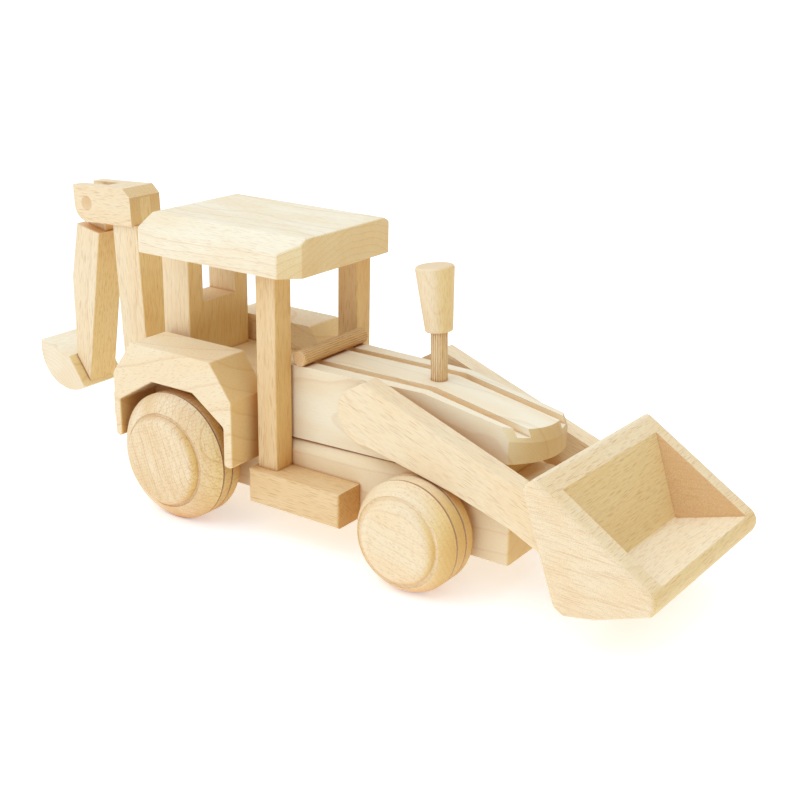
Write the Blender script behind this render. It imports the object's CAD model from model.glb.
import math
import random

import bpy
from mathutils import Matrix, Vector


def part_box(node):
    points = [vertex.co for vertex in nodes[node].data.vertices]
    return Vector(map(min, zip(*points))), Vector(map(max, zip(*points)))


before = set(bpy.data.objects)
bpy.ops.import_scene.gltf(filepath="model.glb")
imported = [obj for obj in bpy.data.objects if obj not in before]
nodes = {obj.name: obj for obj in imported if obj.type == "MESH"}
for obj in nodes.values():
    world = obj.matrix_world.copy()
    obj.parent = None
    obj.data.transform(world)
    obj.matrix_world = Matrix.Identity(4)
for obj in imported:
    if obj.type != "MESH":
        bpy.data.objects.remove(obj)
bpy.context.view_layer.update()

MM = 0.001
X, Y, Z = Vector((1, 0, 0)), Vector((0, 1, 0)), Vector((0, 0, 1))
random.seed(7)

# ---- wood colours, as display values from 0 to 1 ----
PALE = (0.955, 0.912, 0.800)
CREAM = (0.942, 0.872, 0.730)
HONEY = (0.940, 0.850, 0.690)
TAN = (0.905, 0.790, 0.600)
GOLD = (0.885, 0.750, 0.540)
RING_BROWN = (0.800, 0.600, 0.390)
FLECK_BROWN = (0.760, 0.560, 0.350)
SCORCHED = (0.820, 0.610, 0.320)
END_BROWN = (0.840, 0.660, 0.430)

# ---- what multiplies the wood's colour, as linear values ----
WARMED = (0.95, 0.86, 0.52, 1.0)             # on the faces turned forward
HOLLOW = (0.92, 0.66, 0.36, 1.0)             # in deep hollows
SEAM = (0.56, 0.29, 0.11, 1.0)               # along the seams between pieces

# ---- size of the wood's figure along the grain, across it and through it, in millimetres ----
SLOW_BENDS = (70, 38, 38)
SMALL_BENDS = (16, 9, 9)
SMALL_BEND_REACH = 0.9
CLOUDS = (55, 16, 16)
STREAKS = (7, 0.42, 0.42)
HAIRLINES = (2.4, 0.16, 0.16)
PORES = (3, 0.3, 0.3)
END_RAYS = (9, 13, 0.5)
SHIFT = 400                                  # each piece is cut from its own place in the timber

# ---- wear and shade, in millimetres ----
EDGE_ROUND = 0.9
SEAM_REACH = 2.2
HOLLOW_REACH = 24
GRAIN_DEPTH = 0.12

# ---- studio, as linear values ----
TENT = (0.53, 0.545, 0.565, 1)
TENT_AHEAD = (0.36, 0.17, 0.06, 1)
TENT_TOP = (1.28, 1.43, 1.64, 1)
PAPER = ((0.80, 0.80, 0.80, 1), (0.82, 0.82, 0.82, 1))
FLOOR_REACH = 9.0
FLOOR_GLOW = 0.46
KEY_ENERGY, KEY_ANGLE = 0.7, 50
KEY_TOWARD = Vector((0.5, 0.62, -0.75))
EXPOSURE = -0.12


def linear(colour):
    """A display colour as the linear colour with alpha that shader sockets take."""
    return tuple(
        c / 12.92 if c <= 0.04045 else ((c + 0.055) / 1.055) ** 2.4 for c in colour
    ) + (1.0,)


class Graph:
    """The node tree of a material or world, with one short call for each node."""

    def __init__(self, owner):
        owner.use_nodes = True
        self.owner = owner
        self.tree = owner.node_tree
        self.tree.nodes.clear()

    def node(self, kind, inputs=None, **settings):
        made = self.tree.nodes.new(kind)
        for key, value in settings.items():
            setattr(made, key, value)
        for key, value in (inputs or {}).items():
            self.put(made.inputs[key], value)
        return made

    def put(self, socket, value):
        if isinstance(value, bpy.types.NodeSocket):
            self.tree.links.new(value, socket)
        else:
            socket.default_value = value

    def math(self, operation, a, b=0.0):
        return self.node("ShaderNodeMath", {0: a, 1: b}, operation=operation).outputs[0]

    def times(self, a, b):
        return self.math("MULTIPLY", a, b)

    def vector(self, operation, a, b):
        return self.node("ShaderNodeVectorMath", {0: a, 1: b}, operation=operation).outputs[0]

    def dot(self, a, b):
        return self.node("ShaderNodeVectorMath", {0: a, 1: b}, operation="DOT_PRODUCT").outputs["Value"]

    def remap(self, value, low, high, to_low=0.0, to_high=1.0):
        return self.node(
            "ShaderNodeMapRange",
            {"Value": value, "From Min": low, "From Max": high, "To Min": to_low, "To Max": to_high},
            interpolation_type="SMOOTHSTEP",
        ).outputs["Result"]

    def mix(self, factor, a, b, blend="MIX"):
        made = self.node("ShaderNodeMix", data_type="RGBA", blend_type=blend)
        self.put(made.inputs["Factor"], factor)
        self.put(made.inputs["A"], a)
        self.put(made.inputs["B"], b)
        return made.outputs["Result"]

    def tint(self, factor, colour, by):
        return self.mix(factor, colour, by, blend="MULTIPLY")

    def sized(self, vector, size):
        """The coordinates divided by `size`, so that one cell of a texture is that large."""
        return self.vector("MULTIPLY", vector, tuple(1 / s for s in size))

    def noise(self, vector, size=(1, 1, 1), detail=2.0, roughness=0.5):
        return self.node(
            "ShaderNodeTexNoise",
            {"Vector": self.sized(vector, size), "Scale": 1.0, "Detail": detail, "Roughness": roughness},
        ).outputs[0]

    def flecks(self, vector, size, core, fade):
        """Spots round scattered points: solid to `core` of a cell, and gone `fade` of a cell further out."""
        distance = self.node(
            "ShaderNodeTexVoronoi", {"Vector": self.sized(vector, size), "Scale": 1.0}, feature="F1"
        ).outputs["Distance"]
        return self.remap(distance, core, core + fade, 1.0, 0.0)

    def scratches(self, vector, across):
        """Thin lines at uneven steps along the direction `across`, broken along their length."""
        step, unevenness = 0.8, 5.0
        drift_size, break_size = (20, 20, 20), (2.5, 2.5, 2.5)
        drift = self.noise(vector, drift_size, 1.0)
        phase = self.math("ADD", self.dot(vector, across), self.times(drift, unevenness))
        lines = self.math("PINGPONG", phase, step)
        broken = self.remap(self.noise(vector, break_size), 0.35, 0.65)
        return self.times(self.remap(lines, 0.5, step), broken)


def grain_space(g, grain, face, middle):
    """Coordinates in millimetres about `middle`, with x along the grain and z out of `face`.

    Also how far the surface is end grain, and how far it faces the front of the toy.
    """
    grain = grain.normalized()
    side = face.cross(grain).normalized()
    rows = Matrix((grain, side, grain.cross(side)))
    coords = g.node("ShaderNodeTexCoord")
    mapping = g.node(
        "ShaderNodeMapping",
        {
            "Vector": coords.outputs["Object"],
            "Location": -(rows @ middle) / MM,
            "Rotation": rows.to_euler("XYZ"),
            "Scale": (1 / MM, 1 / MM, 1 / MM),
        },
    )
    normal = coords.outputs["Normal"]
    on_end = g.remap(g.math("ABSOLUTE", g.dot(normal, grain)), 0.55, 0.95)
    ahead = g.remap(g.node("ShaderNodeSeparateXYZ", {0: normal}).outputs[0], 0.25, 0.9)
    return mapping.outputs[0], on_end, ahead


def growth_rings(g, space, shifted, pith, gap, warp):
    """The late wood that darkens to each year's end, and the fine line that ends it."""
    parts = g.node("ShaderNodeSeparateXYZ", {0: space}).outputs
    from_pith = g.node(
        "ShaderNodeCombineXYZ",
        {0: 0.0, 1: g.math("SUBTRACT", parts[1], pith[0]), 2: g.math("SUBTRACT", parts[2], pith[1])},
    ).outputs[0]
    radius = g.node("ShaderNodeVectorMath", {0: from_pith}, operation="LENGTH").outputs["Value"]
    radius = g.math("ADD", radius, g.times(g.noise(shifted, SLOW_BENDS, 1.0), warp))
    radius = g.math("ADD", radius, g.times(g.noise(shifted, SMALL_BENDS), SMALL_BEND_REACH))
    year = g.math("FRACT", g.math("DIVIDE", radius, gap))
    late = g.times(g.remap(year, 0.45, 0.96), g.remap(year, 0.96, 1.0, 1.0, 0.0))
    line = g.times(g.remap(year, 0.84, 0.955), g.remap(year, 0.965, 1.0, 1.0, 0.0))
    return late, line


def ray_flecks(g, shifted, length, width):
    """Beech's short brown dashes: large ones, and smaller and fainter ones between them."""
    large = g.flecks(shifted, (length, width, width), 0.17, 0.13)
    small = g.flecks(shifted, (length / 1.9, width / 2.1, width / 2.1), 0.2, 0.16)
    return g.math("MAXIMUM", large, g.times(small, 0.55))


def wood(
    name, middle, grain=X, face=Z, light=CREAM, dark=TAN, pith=(0.0, -90.0), gap=7.0, rings=0.35, warp=10.0,
    flecks=0.35, fleck_length=2.6, fleck_width=0.75, streaks=0.35, end=0.3, end_rays=0.0, end_saw=0.0,
    saw=0.0, scorched=0.0, inside=0.0, tan=0.8,
):
    """Sanded bare beech: rings round a pith, ray flecks, fine streaks and darker end grain.

    Lengths are in millimetres: the pith's place, the rings' gap and warp, a fleck's size, and `inside`,
    the distance from the middle within which end grain is scorched. The others say how strong a feature
    is, from 0 to 1.
    """
    g = Graph(bpy.data.materials.new(name))
    space, on_end, ahead = grain_space(g, grain, face, middle)
    shift = tuple(random.uniform(-SHIFT, SHIFT) for _ in range(3))
    shifted = g.vector("ADD", space, shift)
    fine = g.noise(shifted, STREAKS, 3.0, 0.6)
    hair = g.noise(shifted, HAIRLINES, 2.0, 0.6)
    spots = ray_flecks(g, shifted, fleck_length, fleck_width)
    late, line = growth_rings(g, space, shifted, pith, gap, warp)

    # the figure of the timber
    colour = g.mix(g.remap(g.noise(shifted, CLOUDS), 0.3, 0.7), linear(light), linear(dark))
    colour = g.mix(g.times(late, 0.4 * rings), colour, linear(GOLD))
    colour = g.mix(g.times(line, rings), colour, linear(RING_BROWN))
    colour = g.mix(g.times(g.remap(fine, 0.45, 0.8), streaks), colour, linear(GOLD))
    colour = g.mix(g.times(g.remap(hair, 0.55, 0.85), 0.5 * streaks), colour, linear(RING_BROWN))
    colour = g.mix(g.times(spots, flecks), colour, linear(FLECK_BROWN))

    # end grain, and what the saw and the cutter leave
    pores = g.remap(g.noise(shifted, PORES, 2.0, 0.7), 0.4, 0.65)
    end_colour = g.mix(pores, linear(END_BROWN), linear(RING_BROWN))
    colour = g.mix(g.times(on_end, end), colour, end_colour)
    if end_rays:
        rays = g.times(g.remap(g.noise(shifted, END_RAYS, 3.0, 0.6), 0.46, 0.72), on_end)
        colour = g.mix(g.times(rays, end_rays), colour, linear(RING_BROWN))
    if scorched:
        along = g.math("ABSOLUTE", g.node("ShaderNodeSeparateXYZ", {0: space}).outputs[0])
        burnt = g.times(g.remap(along, inside, inside + 1, scorched, 0.0), g.remap(fine, 0.3, 0.7, 0.55, 1.0))
        colour = g.mix(g.times(burnt, on_end), colour, linear(SCORCHED))
    height = g.math("ADD", g.times(fine, 0.5), g.times(hair, 0.5))
    height = g.math("SUBTRACT", height, g.times(spots, 0.35))
    if saw:
        hatch = g.math("MAXIMUM", g.scratches(space, Y), g.scratches(space, X))
        hatch = g.times(hatch, saw)
        colour = g.mix(hatch, colour, linear(RING_BROWN))
        height = g.math("SUBTRACT", height, hatch)
    if end_saw:
        hatch = g.math("MAXIMUM", g.scratches(space, (0.0, 0.9, 0.7)), g.scratches(space, (0.0, 0.8, -0.9)))
        hatch = g.times(g.times(hatch, on_end), end_saw)
        colour = g.mix(hatch, colour, linear(FLECK_BROWN))
        height = g.math("SUBTRACT", height, hatch)

    # edges worn pale, warmer faces ahead, and brown hollows and seams
    near_by = g.node("ShaderNodeAmbientOcclusion", {"Distance": SEAM_REACH * MM}, samples=6).outputs["AO"]
    open_air = g.node("ShaderNodeAmbientOcclusion", {"Distance": HOLLOW_REACH * MM}, samples=6).outputs["AO"]
    rounded = g.node("ShaderNodeBevel", {"Radius": EDGE_ROUND * MM}, samples=4).outputs[0]
    flat = g.node("ShaderNodeNewGeometry").outputs["Normal"]
    worn = g.times(g.remap(g.dot(rounded, flat), 0.80, 0.99, 1.0, 0.0), g.remap(near_by, 0.75, 0.95))
    colour = g.mix(g.times(worn, 0.25), colour, linear(PALE))
    colour = g.tint(g.times(ahead, tan), colour, WARMED)
    colour = g.tint(g.remap(open_air, 0.0, 0.56, 1.0, 0.0), colour, HOLLOW)
    colour = g.tint(g.remap(near_by, 0.15, 0.85, 0.9, 0.0), colour, SEAM)

    bump = g.node("ShaderNodeBump", {"Height": height, "Strength": 0.35, "Distance": GRAIN_DEPTH * MM})
    rough = g.math("SUBTRACT", g.remap(fine, 0.2, 0.8, 0.52, 0.66), g.times(worn, 0.1))
    shader = g.node(
        "ShaderNodeBsdfPrincipled",
        {
            "Base Color": colour,
            "Roughness": rough,
            "Normal": bump.outputs[0],
            "Specular IOR Level": 0.32,
            "Sheen Weight": 0.06,
            "Sheen Roughness": 0.5,
        },
    )
    g.node("ShaderNodeOutputMaterial", {"Surface": shader.outputs[0]})
    return g.owner


def middle_of(name):
    """The middle of a CAD node's box."""
    low, high = (Vector(corner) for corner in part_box(name))
    return (low + high) / 2


def dress(name, material):
    """Give a CAD node its finished material."""
    obj = nodes[name]
    obj.data.materials.clear()
    obj.data.materials.append(material)


# ---- how each piece is cut from the timber ----
arm_grain = Vector((1.0, 0.0, -0.37))
boom_grain = Vector((-0.052, 0.0, 1.0))
PLANK = dict(light=CREAM, dark=HONEY, flecks=0.5, fleck_length=12.0, fleck_width=0.6, gap=2.6, rings=0.2,
             streaks=0.45, warp=9)
POST = dict(PLANK, light=TAN, dark=GOLD, flecks=0.65, fleck_length=14.0, fleck_width=0.7, streaks=0.6)
GUARD = dict(light=CREAM, dark=HONEY, pith=(60, -30), gap=11, rings=0.2, flecks=0.3, fleck_length=5.0,
             fleck_width=0.8, streaks=0.2, warp=14, end=0.2)
BOARD = dict(POST, face=Z, end=0.4, end_saw=0.9)
ARM = dict(PLANK, grain=arm_grain, pith=(0, -120), rings=0.08)
WHEEL = dict(face=-Y, flecks=0.4, fleck_length=4.0, fleck_width=0.7, warp=6.0, streaks=0.35, end=0.35,
             tan=1.0)
FRONT_WHEEL = dict(WHEEL, grain=Vector((1, 0, -0.25)), light=CREAM, dark=HONEY, pith=(24, -30), gap=1.9,
                   rings=0.22, saw=0.1)
REAR_WHEEL = dict(WHEEL, grain=Vector((1, 0, -2.2)), light=CREAM, dark=TAN, pith=(-34, -30), gap=3.0,
                  rings=0.35, saw=0.45)
DOWEL = dict(grain=Y, face=Z, light=HONEY, dark=GOLD)
FINISHES = {
    "chassis_block": dict(light=CREAM, dark=CREAM, pith=(20, -60), gap=9, rings=0.16, flecks=0.1,
                          streaks=0.15),
    "hood_block": dict(face=Y, light=PALE, dark=CREAM, pith=(10, -45), gap=12, rings=0.16, flecks=0.06,
                       streaks=0.12, warp=34, end_saw=0.15),
    "rear_body_block": dict(light=HONEY, dark=TAN, gap=8, rings=0.3),
    "cab_rear_frame": dict(POST, grain=Z, face=X, light=CREAM, dark=HONEY, pith=(30, -40), flecks=0.35),
    "roof": dict(light=PALE, dark=CREAM, pith=(8, -60), gap=3.2, rings=0.22, flecks=0.3, streaks=0.3,
                 fleck_length=10.0, fleck_width=0.6, end=0.2, end_saw=0.12),
    "pillar_front_right": dict(POST, grain=Z, face=-Y, pith=(25, -50)),
    "pillar_front_left": dict(POST, grain=Z, face=-Y, pith=(-25, -50)),
    "mudguard_right": dict(GUARD, grain=Vector((1, 0, 0.32)), face=-Y),
    "mudguard_left": dict(GUARD, grain=Vector((1, 0, -0.2)), face=Y),
    "running_board_right": BOARD,
    "running_board_left": BOARD,
    "loader_arm_right": dict(ARM, face=-Y),
    "loader_arm_left": dict(ARM, face=Y),
    "loader_bucket": dict(PLANK, grain=Y, face=Z, pith=(20, -80), rings=0.15, end=0.0, end_rays=0.4,
                          scorched=0.85, inside=48),
    "boom_bracket": POST,
    "boom": dict(PLANK, grain=boom_grain, face=-Y, pith=(10, -60)),
    "knuckle_block": dict(PLANK, grain=Vector((1, 0, 0.05)), face=-Y, pith=(10, -50)),
    "dipper": dict(PLANK, grain=Vector((0.1, 0, 1)), face=-Y, pith=(12, -50)),
    "hoe_bucket": dict(PLANK, grain=Y, face=Z, light=PALE, dark=CREAM, flecks=0.2, pith=(15, -25), end=0.1),
    "exhaust_cap": dict(POST, grain=Vector((-0.1, 0, 1)), face=-Y, light=CREAM, dark=HONEY, flecks=0.25,
                        pith=(40, -60), gap=1.7, rings=0.12),
    "exhaust_stem": dict(POST, light=CREAM, dark=HONEY, grain=Z, face=-Y, streaks=0.7, pith=(3, -30)),
    "dashboard_dowel": dict(POST, grain=Y, face=Z, streaks=0.7, pith=(3, -30)),
    "front_wheel_right": FRONT_WHEEL,
    "front_wheel_left": FRONT_WHEEL,
    "rear_wheel_right": REAR_WHEEL,
    "rear_wheel_left": REAR_WHEEL,
}

for node_name in nodes:
    finish = FINISHES.get(node_name, DOWEL)
    dress(node_name, wood(node_name + "_beech", middle_of(node_name), **finish))


# ---- camera, at the height and distance of a product photograph ----
def aim_camera(azimuth, down, roll, position, focal):
    """Camera at `position`, turned `azimuth` from straight along +Y and looking `down` degrees."""
    az, el, tilt = math.radians(azimuth), math.radians(down), math.radians(roll)
    forward = Vector((-math.sin(az) * math.cos(el), math.cos(az) * math.cos(el), -math.sin(el)))
    level = forward.cross(Z).normalized()
    upright = level.cross(forward)
    right = level * math.cos(tilt) + upright * math.sin(tilt)
    up = upright * math.cos(tilt) - level * math.sin(tilt)
    data = bpy.data.cameras.new("camera")
    data.lens = focal
    data.sensor_width = 36.0
    data.clip_start = 0.01
    camera = bpy.data.objects.new("camera", data)
    camera.matrix_world = Matrix.Translation(position) @ Matrix((right, up, -forward)).transposed().to_4x4()
    bpy.context.scene.collection.objects.link(camera)
    bpy.context.scene.camera = camera


# ---- studio: paper on the floor, and a light tent with a dim warm side ahead of the toy ----
def lay_floor():
    mesh = bpy.data.meshes.new("floor")
    corners = [(-1, -1), (1, -1), (1, 1), (-1, 1)]
    mesh.from_pydata([(FLOOR_REACH * x, FLOOR_REACH * y, 0) for x, y in corners], [], [(0, 1, 2, 3)])
    obj = bpy.data.objects.new("floor", mesh)
    bpy.context.scene.collection.objects.link(obj)
    g = Graph(bpy.data.materials.new("studio_paper"))
    shade = g.mix(g.noise(g.node("ShaderNodeTexCoord").outputs["Object"]), *PAPER)
    paper = g.node(
        "ShaderNodeBsdfPrincipled",
        {
            "Base Color": shade,
            "Roughness": 0.9,
            "Emission Color": (1, 1, 1, 1),
            "Emission Strength": FLOOR_GLOW,
        },
    )
    g.node("ShaderNodeOutputMaterial", {"Surface": paper.outputs[0]})
    mesh.materials.append(g.owner)


def pitch_tent():
    world = bpy.data.worlds.new("studio")
    g = Graph(world)
    toward = g.node("ShaderNodeSeparateXYZ", {0: g.node("ShaderNodeTexCoord").outputs["Generated"]}).outputs
    glow = g.mix(g.remap(toward[0], -0.25, 0.85), TENT, TENT_AHEAD)
    glow = g.mix(g.remap(toward[2], 0.22, 0.85), glow, TENT_TOP)
    light = g.node("ShaderNodeBackground", {"Color": glow, "Strength": 1.0})
    g.node("ShaderNodeOutputWorld", {"Surface": light.outputs[0]})
    bpy.context.scene.world = world


def hang_key_light():
    sun = bpy.data.lights.new("key", "SUN")
    sun.energy = KEY_ENERGY
    sun.angle = math.radians(KEY_ANGLE)
    lamp = bpy.data.objects.new("key", sun)
    lamp.rotation_euler = KEY_TOWARD.to_track_quat("-Z", "Y").to_euler()
    bpy.context.scene.collection.objects.link(lamp)


aim_camera(azimuth=34.24, down=19.6, roll=1.1, position=Vector((0.3737, -0.4942, 0.2844)), focal=59.5)
lay_floor()
pitch_tent()
hang_key_light()
bpy.context.scene.view_settings.view_transform = "Standard"
bpy.context.scene.view_settings.exposure = EXPOSURE
